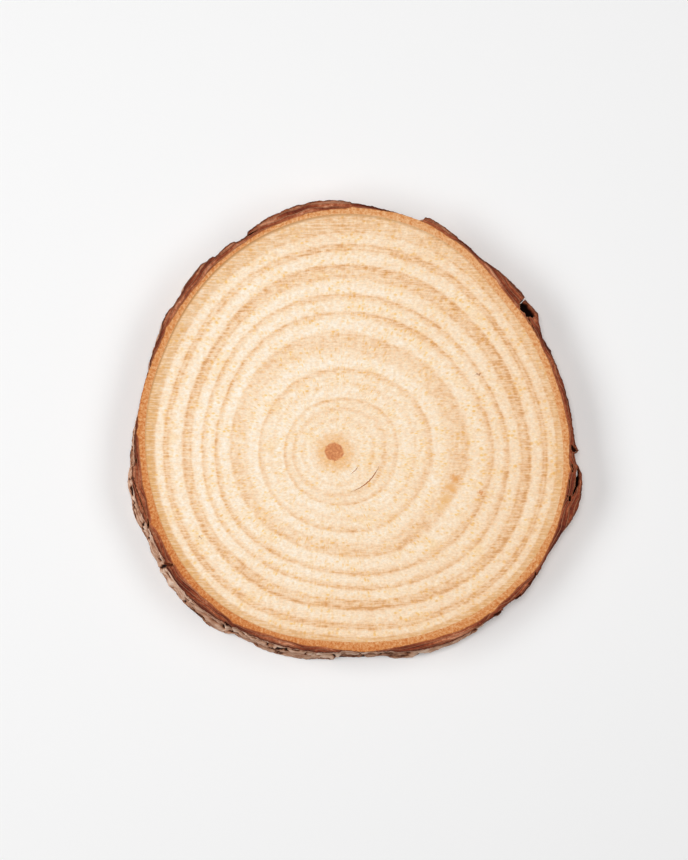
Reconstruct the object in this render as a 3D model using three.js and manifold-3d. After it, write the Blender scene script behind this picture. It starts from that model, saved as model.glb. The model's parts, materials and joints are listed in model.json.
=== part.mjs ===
// A slice of a young pine log, sawn across the grain: a disc of pale wood inside a ring of scaly bark.
//
// Units are millimetres, +Z is up and the sawn underside lies at z = 0, with the origin in the middle
// of the underside's box. Bearings are in degrees, anticlockwise from +X, about the pith, which is the
// soft point that the log grew from.
import * as THREE from "three";
import { mergeVertices } from "three/addons/utils/BufferGeometryUtils.js";
import Module from "manifold-3d";

// Driving dimensions
const THICKNESS = 10; // between the two sawn faces
const LEAN = 2.6; // the saw cut is out of square, so the foot of the wall stands this far to one side
const LEAN_BEARING = 237;

// Distance from the pith to the edge of the wood, every 15 degrees, starting at +X.
const WOOD_RADII = [
  55.2, 54.6, 54.5, 54.7, 56.9, 57.6, 57.1, 55.2, 52.6, 49.7, 47.3, 46.1,
  45.1, 44.6, 44.9, 45.4, 45.5, 45.4, 45.4, 47.0, 49.4, 52.1, 54.2, 55.4,
];
const WOOD_COLUMNS = 180;
const WOOD_TO_BARK_GAP = 0.3;

// The bark grows as plates side by side. Each one runs between two bearings, and its three depths are
// how far it stands out from the edge of the wood at its first edge, its middle and its last edge. A
// plate with a foot stands out further by that much below the sawn face.
const PLATES = [
  { from: 2, to: 29, depths: [2.9, 3.0, 2.9] },
  { from: 29, to: 34.4, depths: [3.0, 3.7, 5.1] },
  { from: 34.4, to: 38.7, depths: [4.9, 4.6, 4.3] },
  { from: 38.7, to: 53, depths: [4.8, 4.3, 2.6] },
  { from: 53, to: 60, depths: [2.5, 2.6, 2.5] },
  { from: 60, to: 68.8, depths: [2.8, 3.1, 3.5] },
  { from: 68.8, to: 86, depths: [1.8, 2.0, 2.6] },
  { from: 86, to: 111.5, depths: [2.9, 3.7, 2.6] },
  { from: 111.5, to: 115, depths: [1.9, 1.9, 2.1] },
  { from: 115, to: 121.5, depths: [2.6, 2.7, 2.3] },
  { from: 121.5, to: 132.5, depths: [3.0, 3.3, 3.2] },
  { from: 132.5, to: 138, depths: [2.7, 2.8, 2.8] },
  { from: 138, to: 146, depths: [3.0, 3.2, 2.4] },
  { from: 146, to: 154, depths: [2.4, 2.4, 2.2] },
  { from: 154, to: 170, depths: [1.9, 1.8, 2.0] },
  { from: 170, to: 184, depths: [2.3, 2.6, 2.9], foot: 0.6 },
  { from: 184, to: 201, depths: [3.6, 4.2, 3.4], foot: 0.2 },
  { from: 201, to: 213, depths: [2.8, 3.3, 3.0], foot: 0.6 },
  { from: 213, to: 240, depths: [3.8, 3.7, 3.0], foot: 0.6 },
  { from: 240, to: 257, depths: [2.6, 2.8, 2.7], foot: 0.4 },
  { from: 257, to: 272, depths: [2.8, 2.9, 2.7], foot: 0.4 },
  { from: 272, to: 287, depths: [2.2, 2.4, 2.5], foot: 0.1 },
  { from: 287, to: 311, depths: [2.9, 3.8, 3.4], foot: 0.2 },
  { from: 311, to: 317, depths: [3.3, 3.1, 3.7] },
  { from: 317, to: 321.4, depths: [2.8, 2.8, 2.9] },
  { from: 321.4, to: 331, depths: [3.6, 3.3, 3.0] },
  { from: 331, to: 341, depths: [2.7, 2.6, 3.1] },
  { from: 341, to: 356, depths: [3.1, 4.9, 4.3] },
  { from: 356, to: 360, depths: [3.3, 2.9, 2.4] },
  { from: 360, to: 362, depths: [3.8, 3.4, 3.0] },
];
const COLUMN_STEP = 1.4; // bearing between neighbouring columns of the bark
const STRIP_STEP = 0.3; // bearing over which one strip of bark steps to the next

// Down the wall each plate is split upright into strips, and each strip is broken across into three
// scales. The top one meets the sawn face at the plate's own depths, and the two below it stand in
// front of it or behind it.
const WIDEST_STRIP = 9; // bearing
const SCALE_BREAKS = [0.34, 0.68]; // heights of the breaks, as shares of the slice's thickness
const BREAK_WANDER = [-0.1, 0.1]; // how far a strip's break lies from that height
const BREAK_SLANT = [-0.16, 0.16]; // how far a break rises from the strip's first edge to its last
const BREAK_GAP = 0.02; // height of the step at a break
const SCALE_STEPS = [-0.7, 0.3]; // how far a lower scale stands in front of the top one
const SCALE_ROUNDING = 0.3; // how far a scale falls away at its broken edges
const THINNEST_BARK = 1.2;
const RELIEF_SEED = 4127;

// Clefts behind plates that have lifted off, open at the last bearing. Each gives the two bearings and
// the depths of its two walls there; at the first bearing the walls meet.
const CLEFTS = [
  { from: 33.6, to: 39.2, innerDepth: 1.9, outerDepth: 3.6 },
  { from: 348.5, to: 356.6, innerDepth: 2.2, outerDepth: 3.7 },
];
const CLEFT_COLUMNS = 6;
const CLEFT_OVERRUN = 1; // how far a cleft's cutter reaches past the sawn faces

const SAME_POINT = 1e-4; // points nearer than this are one

const woodMaterial = new THREE.MeshStandardMaterial({
  color: 0xf6dfc1,
  roughness: 0.72,
  metalness: 0,
});
const barkMaterial = new THREE.MeshStandardMaterial({
  color: 0x8f5b42,
  roughness: 0.92,
  metalness: 0,
});

const wasm = await Module();
wasm.setup();

// A closed geometry as a solid that can be cut.
function toSolid(geometry) {
  const bare = geometry.clone();
  bare.deleteAttribute("normal");
  bare.deleteAttribute("uv");
  const merged = mergeVertices(bare, SAME_POINT);
  const mesh = new wasm.Mesh({
    numProp: 3,
    vertProperties: merged.attributes.position.array,
    triVerts: new Uint32Array(merged.index.array),
  });
  return new wasm.Manifold(mesh);
}

// A cut solid as a geometry again.
function toGeometry(solid) {
  const { vertProperties, triVerts } = solid.getMesh();
  const geometry = new THREE.BufferGeometry();
  geometry.setAttribute("position", new THREE.BufferAttribute(vertProperties, 3));
  geometry.setIndex(new THREE.BufferAttribute(triVerts, 1));
  geometry.computeVertexNormals();
  return geometry;
}

// A repeatable stream of numbers from 0 to 1, and one drawn between two limits.
function makeDraw(seed) {
  const modulus = 2147483647;
  let state = seed;
  return ([low, high]) => {
    state = (state * 16807) % modulus;
    return low + ((high - low) * state) / modulus;
  };
}

// Distance from the pith to the edge of the wood: a smooth closed curve through the measured radii.
function woodRadius(bearing) {
  const place = (bearing / 360) * WOOD_RADII.length;
  const index = Math.floor(place);
  const [before, start, end, after] = [-1, 0, 1, 2].map((step) => {
    const count = WOOD_RADII.length;
    return WOOD_RADII[(((index + step) % count) + count) % count];
  });
  const t = place - index;
  const slope = end - before;
  const bend = 2 * before - 5 * start + 4 * end - after;
  const twist = 3 * start - before - 3 * end + after;
  return start + 0.5 * t * (slope + t * (bend + t * twist));
}

// A point at a bearing, a distance from the pith and a height, on the leaning axis of the log.
function onLog(bearing, radius, height) {
  const angle = THREE.MathUtils.degToRad(bearing);
  const lean = LEAN * (1 - height / THICKNESS);
  const leanAngle = THREE.MathUtils.degToRad(LEAN_BEARING);
  return new THREE.Vector3(
    radius * Math.cos(angle) + lean * Math.cos(leanAngle),
    radius * Math.sin(angle) + lean * Math.sin(leanAngle),
    height,
  );
}

// Moves each point of a straight upright geometry on to the leaning axis.
function leanOver(geometry) {
  const foot = onLog(0, 0, 0);
  const shear = new THREE.Matrix4().set(
    1, 0, -foot.x / THICKNESS, foot.x,
    0, 1, -foot.y / THICKNESS, foot.y,
    0, 0, 1, 0,
    0, 0, 0, 1,
  );
  return geometry.applyMatrix4(shear);
}

// The wood: the edge of the wood as an outline, as thick as the slice.
function makeWood() {
  const outline = Array.from({ length: WOOD_COLUMNS }, (_, column) => {
    const bearing = (360 * column) / WOOD_COLUMNS;
    const angle = THREE.MathUtils.degToRad(bearing);
    const radius = woodRadius(bearing);
    return new THREE.Vector2(radius * Math.cos(angle), radius * Math.sin(angle));
  });
  const disc = new THREE.ExtrudeGeometry(new THREE.Shape(outline), {
    depth: THICKNESS,
    bevelEnabled: false,
  });
  return leanOver(disc);
}

// How far a plate stands out from the edge of the wood at a bearing, at the sawn face: a parabola
// through its three depths.
function plateDepth({ from, to, depths: [first, middle, last] }, bearing) {
  const across = (bearing - from) / (to - from);
  const left = 1 - across;
  return first * left * (1 - 2 * across) + middle * 4 * across * left + last * across * (2 * across - 1);
}

// The strips of all plates in turn, each with its own draw of how its scales lie.
function barkStrips() {
  const draw = makeDraw(RELIEF_SEED);
  return PLATES.flatMap((plate) => {
    const count = Math.ceil((plate.to - plate.from) / WIDEST_STRIP);
    const width = (plate.to - plate.from) / count;
    const foot = plate.foot ?? 0;
    return Array.from({ length: count }, (_, strip) => ({
      plate,
      from: plate.from + width * strip,
      to: plate.from + width * (strip + 1),
      breaks: SCALE_BREAKS.map((height) => ({
        height: height + draw(BREAK_WANDER),
        slant: draw(BREAK_SLANT),
      })),
      steps: [foot + draw(SCALE_STEPS), foot + draw(SCALE_STEPS), 0],
    }));
  });
}

// The heights at which a column of bark is shaped, from the underside up, as shares of the thickness:
// both edges and the middle of each scale.
function columnRows(strip, across) {
  const [low, high] = strip.breaks.map(({ height, slant }) => height + slant * (across - 0.5));
  const half = BREAK_GAP / 2;
  return [
    { up: 0, scale: 0, broken: false },
    { up: low / 2, scale: 0, broken: false },
    { up: low - half, scale: 0, broken: true },
    { up: low + half, scale: 1, broken: true },
    { up: (low + high) / 2, scale: 1, broken: false },
    { up: high - half, scale: 1, broken: true },
    { up: high + half, scale: 2, broken: true },
    { up: (high + 1) / 2, scale: 2, broken: false },
    { up: 1, scale: 2, broken: false },
  ];
}

// How far a scale stands out from the edge of the wood at a bearing.
function scaleDepth(strip, bearing, { scale, broken }) {
  const fall = broken ? SCALE_ROUNDING : 0;
  return Math.max(THINNEST_BARK, plateDepth(strip.plate, bearing) + strip.steps[scale] - fall);
}

// The bark's columns: each strip has its own, so that the step between two strips stays steep.
function barkColumns() {
  return barkStrips().flatMap((strip) => {
    const count = Math.max(2, Math.round((strip.to - strip.from) / COLUMN_STEP));
    const first = strip.from + STRIP_STEP / 2;
    const width = strip.to - strip.from - STRIP_STEP;
    return Array.from({ length: count + 1 }, (_, column) => ({
      strip,
      bearing: first + (width * column) / count,
      rows: columnRows(strip, column / count),
    }));
  });
}

// The bark: a ring turned on the lathe with one closed section, whose columns are then moved out to the
// scales.
function makeBark() {
  const columns = barkColumns();
  const wallRows = columns[0].rows.length;
  const corners = [[1, 0], ...Array.from({ length: wallRows }, (_, row) => [2, row]), [1, wallRows], [1, 0]];
  const section = corners.map(([out, up]) => new THREE.Vector2(out, up));
  const ring = new THREE.LatheGeometry(section, columns.length);
  const position = ring.attributes.position;
  for (let turn = 0; turn <= columns.length; turn++) {
    const { strip, bearing, rows } = columns[turn % columns.length];
    const woodEdge = woodRadius(bearing);
    const inside = woodEdge + WOOD_TO_BARK_GAP;
    const points = [
      onLog(bearing, inside, 0),
      ...rows.map((row) => onLog(bearing, woodEdge + scaleDepth(strip, bearing, row), row.up * THICKNESS)),
      onLog(bearing, inside, THICKNESS),
      onLog(bearing, inside, 0),
    ];
    points.forEach((point, row) => {
      position.setXYZ(turn * section.length + row, point.x, point.y, point.z);
    });
  }
  const cut = CLEFTS.reduce((solid, cleft) => solid.subtract(toSolid(makeCleft(cleft))), toSolid(ring));
  return toGeometry(cut);
}

// A cleft's cutter: a curved wedge in plan that widens from nothing to its open end, through the slice.
function makeCleft({ from, to, innerDepth, outerDepth }) {
  const wall = (depth) =>
    Array.from({ length: CLEFT_COLUMNS + 1 }, (_, column) => {
      const share = column / CLEFT_COLUMNS;
      const bearing = from + (to - from) * share;
      const middle = (innerDepth + outerDepth) / 2;
      const opened = middle + (depth - middle) * Math.sqrt(share);
      const angle = THREE.MathUtils.degToRad(bearing);
      const radius = woodRadius(bearing) + opened;
      return new THREE.Vector2(radius * Math.cos(angle), radius * Math.sin(angle));
    });
  const outline = [...wall(outerDepth), ...wall(innerDepth).slice(1).reverse()];
  const wedge = new THREE.ExtrudeGeometry(new THREE.Shape(outline), {
    depth: THICKNESS + 2 * CLEFT_OVERRUN,
    bevelEnabled: false,
  });
  wedge.translate(0, 0, -CLEFT_OVERRUN);
  return leanOver(wedge);
}

const slice = new THREE.Group();
slice.name = "wood_slice";

const wood = new THREE.Mesh(makeWood(), woodMaterial);
wood.name = "wood";
slice.add(wood);

const bark = new THREE.Mesh(makeBark(), barkMaterial);
bark.name = "bark";
slice.add(bark);

// The origin goes to the middle of the slice's box, on the underside.
const middle = new THREE.Box3().setFromObject(slice).getCenter(new THREE.Vector3());
wood.position.set(-middle.x, -middle.y, 0);
bark.position.copy(wood.position);

export default slice;
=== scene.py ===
# %% [markdown]
# # A slice of pine log
# This lesson dresses a slice sawn across a young pine: a pale disc of wood with growth rings, inside a
# ring of scaly bark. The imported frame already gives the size, the outline and the coarse scales of the
# bark, so everything here is measured from it and only the finer shape and the finish are added.

# %% Load the frame
import json
import math
from functools import partial

import bmesh
import bpy
import numpy as np
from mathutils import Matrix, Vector, noise
from mathutils.bvhtree import BVHTree


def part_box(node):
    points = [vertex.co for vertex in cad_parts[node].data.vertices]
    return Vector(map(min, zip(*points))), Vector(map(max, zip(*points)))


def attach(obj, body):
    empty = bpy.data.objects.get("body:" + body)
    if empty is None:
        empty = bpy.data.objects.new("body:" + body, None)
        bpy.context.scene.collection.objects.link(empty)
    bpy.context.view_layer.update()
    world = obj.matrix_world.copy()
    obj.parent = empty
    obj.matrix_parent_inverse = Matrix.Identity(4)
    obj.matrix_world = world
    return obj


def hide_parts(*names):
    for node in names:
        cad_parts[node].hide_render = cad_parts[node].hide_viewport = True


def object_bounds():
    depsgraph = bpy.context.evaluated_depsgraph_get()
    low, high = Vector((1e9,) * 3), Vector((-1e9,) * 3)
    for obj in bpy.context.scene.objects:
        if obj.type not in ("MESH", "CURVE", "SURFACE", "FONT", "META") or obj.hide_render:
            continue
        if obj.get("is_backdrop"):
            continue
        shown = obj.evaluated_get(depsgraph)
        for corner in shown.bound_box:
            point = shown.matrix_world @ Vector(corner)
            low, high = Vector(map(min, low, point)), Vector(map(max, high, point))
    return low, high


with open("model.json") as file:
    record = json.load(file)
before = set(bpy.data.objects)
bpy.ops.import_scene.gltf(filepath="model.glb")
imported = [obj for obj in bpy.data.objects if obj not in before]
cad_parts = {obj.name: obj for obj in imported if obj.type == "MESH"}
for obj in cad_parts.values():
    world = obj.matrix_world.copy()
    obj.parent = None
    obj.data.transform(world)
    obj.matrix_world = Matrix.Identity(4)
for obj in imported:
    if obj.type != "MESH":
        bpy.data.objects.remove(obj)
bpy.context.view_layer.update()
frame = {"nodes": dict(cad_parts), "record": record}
MM = 0.001

# %% [markdown]
# ## The log's axis
# Both pieces are built round the pith, the point that the log grew from. The frame's top face mount
# marks it. The saw cut was out of square, so the axis leans: comparing the wood's outline on its two
# faces gives by how much.

# %% Measure the axis
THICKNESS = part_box("wood")[1].z
PITH = Vector(next(m["pos_m"] for m in frame["record"]["mounts"] if m["name"] == "top_face"))


def points_of(node):
    """A frame node's points, one row each."""
    return np.array([vertex.co for vertex in frame["nodes"][node].data.vertices])


wood_points = points_of("wood")
on_top = wood_points[:, 2] > THICKNESS / 2
LEAN = wood_points[~on_top].min(axis=0) - wood_points[on_top].min(axis=0)


def on_log(bearing, radius, up):
    """Points at bearings in degrees, at distances from the leaning axis and shares of the thickness."""
    turn = np.radians(bearing)
    x = PITH.x + LEAN[0] * (1 - up) + radius * np.cos(turn)
    y = PITH.y + LEAN[1] * (1 - up) + radius * np.sin(turn)
    return np.stack(np.broadcast_arrays(x, y, up * THICKNESS), axis=-1)


print("lean in mm:", (LEAN[:2] / MM).round(2), "thickness in mm:", round(THICKNESS / MM, 2))

# %% [markdown]
# ## Feeling for the frame's surface
# A shrinkwrap would pull a fine mesh on to the frame, but the scales' steep edges would catch it. So a
# ray is shot from outside towards the axis instead, and the place where it lands is the surface.

# %% Reach of the wood and the bark
FAR_OUT = 0.09
COLUMNS = 1440
BEARINGS = np.arange(COLUMNS) * 360 / COLUMNS


def surface_of(node):
    """A search tree of a frame node's triangles."""
    mesh = frame["nodes"][node].data
    return BVHTree.FromPolygons([v.co for v in mesh.vertices], [p.vertices for p in mesh.polygons])


def reach(surface, up):
    """Distance from the axis to a surface at every bearing, at one share of the thickness."""
    starts = on_log(BEARINGS, FAR_OUT, up)
    aims = on_log(BEARINGS, 0.0, up)
    hits = [surface.ray_cast(Vector(s), Vector(a - s))[3] for s, a in zip(starts, aims)]
    return FAR_OUT - np.array(hits)


wood_reach = reach(surface_of("wood"), 0.5)
print("wood reaches", (wood_reach.min() / MM).round(1), "to", (wood_reach.max() / MM).round(1), "mm")

# %% [markdown]
# ## Turning a section
# Wood and bark are both turned shapes at heart. A square section is stood beside the axis, its edges are
# divided as finely as the piece needs, and it is turned round. Spin could do that, but with more than a
# thousand steps it is slow, and the Screw modifier with no pitch gives the same ring at once. The ring is
# one unit high. Its points are moved out to the real outline afterwards.

# %% Helpers for turning
SAME_PLACE = 1e-5
SHARP = math.radians(38)


def activate(piece):
    """Makes a piece the only one that operators act on."""
    bpy.ops.object.select_all(action="DESELECT")
    piece.select_set(True)
    bpy.context.view_layer.objects.active = piece


def add_section(name, inner, outer):
    """A standing square between two distances from the axis, with its face taken out, in edit mode."""
    bpy.ops.object.select_all(action="DESELECT")
    middle = ((inner + outer) / 2, 0, 0.5)
    bpy.ops.mesh.primitive_plane_add(size=1, location=middle, rotation=(math.pi / 2, 0, 0))
    piece = bpy.context.active_object
    piece.name = piece.data.name = name
    bpy.ops.object.transform_apply(location=True, rotation=True, scale=True)
    bpy.ops.object.mode_set(mode="EDIT")
    bpy.ops.mesh.delete(type="ONLY_FACE")
    return piece


def select_edges(piece, test):
    """Selects the edges whose two ends pass a test."""
    mesh = bmesh.from_edit_mesh(piece.data)
    mesh.select_mode = {"EDGE"}
    for edge in mesh.edges:
        edge.select_set(all(test(vertex.co) for vertex in edge.verts))
    mesh.select_flush_mode()
    bmesh.update_edit_mesh(piece.data)


def divide(piece, test, cuts):
    """Divides the edges that pass a test."""
    select_edges(piece, test)
    bpy.ops.mesh.subdivide(number_cuts=cuts)


def turn_round(piece, steps):
    """Turns the section right round the axis, closes the seam and makes the faces point outwards."""
    bpy.ops.object.mode_set(mode="OBJECT")
    activate(piece)
    lathe = piece.modifiers.new("lathe", "SCREW")
    lathe.axis = "Z"
    lathe.angle = 2 * math.pi
    lathe.steps = lathe.render_steps = steps
    lathe.use_merge_vertices = True
    lathe.merge_threshold = SAME_PLACE
    bpy.ops.object.modifier_apply(modifier=lathe.name)
    bpy.ops.object.mode_set(mode="EDIT")
    bpy.ops.mesh.select_all(action="SELECT")
    bpy.ops.mesh.remove_doubles(threshold=SAME_PLACE)
    bpy.ops.mesh.normals_make_consistent(inside=False)
    bpy.ops.object.mode_set(mode="OBJECT")


def crisp(piece):
    """Smooth shading that keeps the sharp edges sharp."""
    activate(piece)
    bpy.ops.object.shade_smooth_by_angle(angle=SHARP)


def turned_places(piece):
    """Bearing, distance from the axis and height of each point of a turned shape."""
    co = np.array([vertex.co for vertex in piece.data.vertices])
    bearing = np.degrees(np.arctan2(co[:, 1], co[:, 0])) % 360
    return bearing, np.hypot(co[:, 0], co[:, 1]), co[:, 2].round(5)


def move_points(piece, places):
    """Puts a piece's points at new places."""
    piece.data.vertices.foreach_set("co", places.astype(np.float32).ravel())
    piece.data.update()


def add_attribute(piece, name, values):
    """Stores a number or a vector for each point, for the materials to read."""
    kind, field = ("FLOAT", "value") if values.ndim == 1 else ("FLOAT_VECTOR", "vector")
    attribute = piece.data.attributes.new(name, kind, "POINT")
    attribute.data.foreach_set(field, values.astype(np.float32).ravel())


def at_bearing(values, bearing):
    """A value at any bearing, from values at evenly spaced bearings, read round the circle."""
    steps = np.arange(len(values) + 1) * 360 / len(values)
    return np.interp(bearing % 360, steps, np.append(values, values[0]))


def turn_from(start, bearing):
    """The turn from one bearing to another, from -180 to 180 degrees."""
    return (bearing - start + 180) % 360 - 180


print("from 350 to 10 degrees is a turn of", turn_from(350, 10))

# %% [markdown]
# ## The wood disc
# The disc needs a polar mesh, because the rings are drawn along it. The section's inner edge would lie
# on the axis, so it is taken away, and merging closes the disc there.

# %% Turn the disc
WOOD_COLUMNS = 720
WOOD_CIRCLES = 48

wood = add_section("wood_disc", 0, 1)
select_edges(wood, lambda co: co.x < 0.01)
bpy.ops.mesh.delete(type="EDGE")
divide(wood, lambda co: co.z > 0.99, WOOD_CIRCLES)
divide(wood, lambda co: co.z < 0.01, WOOD_CIRCLES)
turn_round(wood, WOOD_COLUMNS)
wood_bearing, wood_share, wood_up = turned_places(wood)
move_points(wood, on_log(wood_bearing, wood_share * at_bearing(wood_reach, wood_bearing), wood_up))
print(wood.name, len(wood.data.vertices), "points", len(wood.data.polygons), "faces")

# %% [markdown]
# ## Ring shakes
# Two rings near the pith have come apart along short arcs. Such a crack could be painted on, but it has
# depth, so a thin blade is spun along the ring and cut out of the wood with a Boolean.

# %% Cut the shakes
def spin_blade(name, first, last, steps):
    """A standing square spun between two bearings: the start of a curved cutter, closed at both ends."""
    blade = add_section(name, 1, 2)
    bpy.ops.mesh.select_all(action="SELECT")
    bpy.ops.mesh.edge_face_add()
    bpy.ops.transform.rotate(value=-math.radians(first), orient_axis="Z", center_override=(0, 0, 0))
    bpy.ops.mesh.spin(steps=steps, angle=-math.radians(last - first), center=(0, 0, 0), axis=(0, 0, 1))
    bpy.ops.object.mode_set(mode="OBJECT")
    mesh = bmesh.new()
    mesh.from_mesh(blade.data)
    bmesh.ops.holes_fill(mesh, edges=[edge for edge in mesh.edges if edge.is_boundary])
    bmesh.ops.recalc_face_normals(mesh, faces=mesh.faces)
    mesh.to_mesh(blade.data)
    mesh.free()
    return blade


def cut(piece, cutter):
    """Takes a cutter out of a piece and removes the cutter."""
    activate(piece)
    modifier = piece.modifiers.new("cut", "BOOLEAN")
    modifier.operation = "DIFFERENCE"
    modifier.object = cutter
    modifier.solver = "MANIFOLD"
    bpy.ops.object.modifier_apply(modifier=modifier.name)
    bpy.data.objects.remove(cutter)


SHAKE_STEPS = 40
# Top of a blade as a share of the thickness, past the face, so that the cut is open.
OVER_FACE = 1.02
# How far a shake leaves its line, in mm.
WANDER = 0.12
# First and last bearing, distance from the pith at each, widest gap and depth, in mm.
SHAKES = [
    (288, 345, 10.3, 11.5, 0.26, 0.4),
    (304, 332, 6.7, 6.9, 0.18, 0.3),
]
for number, (first, last, start, end, gap, depth) in enumerate(SHAKES):
    blade = spin_blade(f"shake_{number}", first, last, SHAKE_STEPS)
    bearing, out, up = turned_places(blade)
    along = (bearing - first) / (last - first)
    width = gap * np.sin(np.pi * np.clip(along, 0.02, 0.98) ** 1.3)
    wander = np.array([WANDER * noise.noise(Vector((b * 0.35, number * 7.0, 0.0))) for b in bearing])
    radius = start + (end - start) * along + wander + (out - 1.5) * width
    share_up = np.where(up > 0.5, OVER_FACE, 1 - depth * MM / THICKNESS)
    move_points(blade, on_log(bearing, radius * MM, share_up))
    cut(wood, blade)
crisp(wood)
print(wood.name, "after the shakes:", len(wood.data.polygons), "faces")

# %% [markdown]
# ## Age of the wood
# A ring's line isn't a circle: the tree grew faster on one side. Each contour below is the edge of one
# year's growth, given as distances from the pith in mm, evenly spaced round it. Between contours the age
# is read off in proportion, so that one number, the age in years, places every ring at once.

# %% Store the age at each point
GROWTH = {
    3: [15.6, 15.9, 14.3, 12.9, 12.3, 11.9, 12.0, 12.2, 12.4, 12.9, 14.0, 15.2],
    4: [24.1, 23.6, 21.7, 20.1, 19.3, 18.4, 18.0, 18.1, 18.3, 19.1, 21.3, 22.6],
    5: [31.9, 31.1, 28.8, 28.4, 27.3, 25.4, 24.4, 23.9, 23.5, 24.2, 27.4, 29.3],
    6: [38.2, 36.3, 34.8, 33.3, 31.7, 29.1, 28.2, 28.7, 28.1, 28.7, 32.4, 36.5],
    7: [42.7, 40.6, 39.7, 38.5, 36.6, 33.3, 32.1, 32.4, 32.2, 33.1, 37.1, 42.0],
    8: [47.1, 46.2, 45.9, 45.5, 45.9, 45.2, 44.6, 43.4, 41.1, 38.5, 37.1, 36.4,
        35.9, 35.9, 36.2, 36.2, 36.6, 36.7, 37.1, 38.7, 41.1, 44.0, 46.3, 47.3],
    9: [51.0, 49.5, 50.5, 49.2, 45.9, 41.6, 40.5, 41.0, 41.6, 41.9, 46.1, 50.6],
    10: [54.2, 53.0, 54.4, 53.5, 49.7, 45.1, 43.6, 43.8, 44.5, 44.7, 48.8, 53.3],
}
LAST_AGE = 10.5


def smooth_round(values):
    """A smooth closed curve through evenly spaced values, at every column's bearing."""
    place = BEARINGS / 360 * len(values)
    index = np.floor(place).astype(int)
    t = place - index
    before, start, end, after = (np.take(values, index + k, mode="wrap") for k in (-1, 0, 1, 2))
    bend = 2 * before - 5 * start + 4 * end - after
    twist = 3 * start - before - 3 * end + after
    return start + 0.5 * t * (end - before + t * (bend + t * twist))


wood_co = np.array([vertex.co for vertex in wood.data.vertices])
axis_xy = on_log(0.0, 0.0, wood_co[:, 2] / THICKNESS)[:, :2]
from_axis = (wood_co[:, :2] - axis_xy) / MM
wood_bearing = np.degrees(np.arctan2(from_axis[:, 1], from_axis[:, 0])) % 360
wood_radius = np.hypot(from_axis[:, 0], from_axis[:, 1])
ages = [0, *GROWTH, LAST_AGE]
contours = np.stack(
    [np.zeros(len(wood_co))]
    + [at_bearing(smooth_round(values), wood_bearing) for values in GROWTH.values()]
    + [at_bearing(wood_reach, wood_bearing) / MM],
    axis=1,
)
wood_age = np.array([np.interp(r, line, ages) for r, line in zip(wood_radius, contours)])
add_attribute(wood, "age", wood_age)

# How quickly the rays' pattern changes round the pith and along a ray.
RAYS_ROUND = 150.0
RAYS_ALONG = 0.22
turned = np.radians(wood_bearing)
rays = [np.cos(turned) * RAYS_ROUND, np.sin(turned) * RAYS_ROUND, wood_radius * RAYS_ALONG]
add_attribute(wood, "rays", np.column_stack(rays))
add_attribute(wood, "from_pith", np.column_stack([from_axis, wood_radius]))
# How sappy the newest wood is and how strong the cambium's line, every 30 degrees.
SAP = [0.3, 0.22, 0.1, 0.15, 0.34, 0.5, 0.76, 0.72, 0.5, 0.34, 0.44, 0.48]
CAMBIUM = [0.0, 0.12, 0.4, 0.75, 1.0, 0.9, 0.5, 0.6, 0.5, 0.15, 0.0, 0.0]
for name, values in (("sap", SAP), ("cambium", CAMBIUM)):
    add_attribute(wood, name, at_bearing(smooth_round(values), wood_bearing))
print("ages stored from", wood_age.min().round(2), "to", wood_age.max().round(2))

# %% [markdown]
# ## The bark ring
# The bark's section is a closed square: an inner wall against the wood, two sawn faces and an outer
# wall. The outer wall is divided most finely, because it carries the scales.

# %% Turn the ring
WALL_ROWS = 30
TOP_ROWS = 16
FOOT_ROWS = 8

bark = add_section("bark_ring", 1, 2)
divide(bark, lambda co: co.x > 1.99, WALL_ROWS - 1)
divide(bark, lambda co: co.z > 0.99, TOP_ROWS - 1)
divide(bark, lambda co: co.z < 0.01, FOOT_ROWS - 1)
turn_round(bark, COLUMNS)
bark_bearing, bark_out, bark_up = turned_places(bark)
bark_share = bark_out - 1
print(bark.name, len(bark.data.vertices), "points")

# %% [markdown]
# ## Flakes and cracks
# Pine bark is a puzzle of flakes, each a little higher or lower than the next and tilted its own way. A
# cell pattern gives the puzzle: it is read on a drum round the axis, so there is no seam, and it is
# stretched round the log, because the flakes are wider than they are high. A noise added to the place
# where the cells are read makes their edges ragged. That kind of noise starts from the clock unless it is
# given a seed, and with one the flakes are the same each time.

# %% Shape of the bark's face
FLAKE_SEED = 5
noise.seed_set(FLAKE_SEED)
# In mm: the drum's radius, its way round for one degree, and a flake's size.
DRUM = 52.0
MM_PER_DEGREE = 0.85
FLAKE_WIDTH = 11.0
FLAKE_HEIGHT = 5.2
# The face's height is drawn shorter than it is where a crack's width is measured, so that a crack along
# the log looks as wide from above as one across it.
CRACK_RISE = 4.5
# A crack's reach in degrees, then its wobble, its half width and the lifted edge beside it, in mm.
CRACK_REACH = 8
CRACK_WOBBLE = 0.15
CRACK_HALF = 0.3
LIP_OFF = 0.75
LIP_HALF = 0.55
# Cracks: bearing and share of the thickness where each starts and ends.
CRACKS = [
    (199.2, 0.62, 200.8, 0.15), (209.6, 0.84, 211.8, 0.5), (214.3, 1.0, 212.8, 0.12),
    (216.6, 0.4, 219.8, 0.2), (223.0, 0.84, 227.8, 0.48), (239.0, 1.0, 240.6, 0.4),
    (253.0, 0.5, 256.8, 0.75), (264.0, 0.8, 267.0, 0.5), (187.6, 1.0, 186.4, 0.7),
    (237.2, 0.65, 238.4, 0.25), (244.0, 0.7, 247.5, 0.5), (277.0, 0.9, 279.5, 0.5),
    (190.5, 0.55, 193.5, 0.3), (203.2, 0.9, 204.6, 0.4), (270.5, 0.7, 272.2, 0.2),
    (296.0, 0.9, 291.5, 0.35), (309.0, 0.8, 312.5, 0.3), (334.0, 0.9, 330.5, 0.4),
    (24.0, 0.9, 26.5, 0.3), (77.0, 0.8, 74.5, 0.2), (124.0, 0.95, 127.5, 0.4),
    (149.0, 0.9, 145.5, 0.3), (96.0, 0.7, 101.0, 0.4),
]
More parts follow.
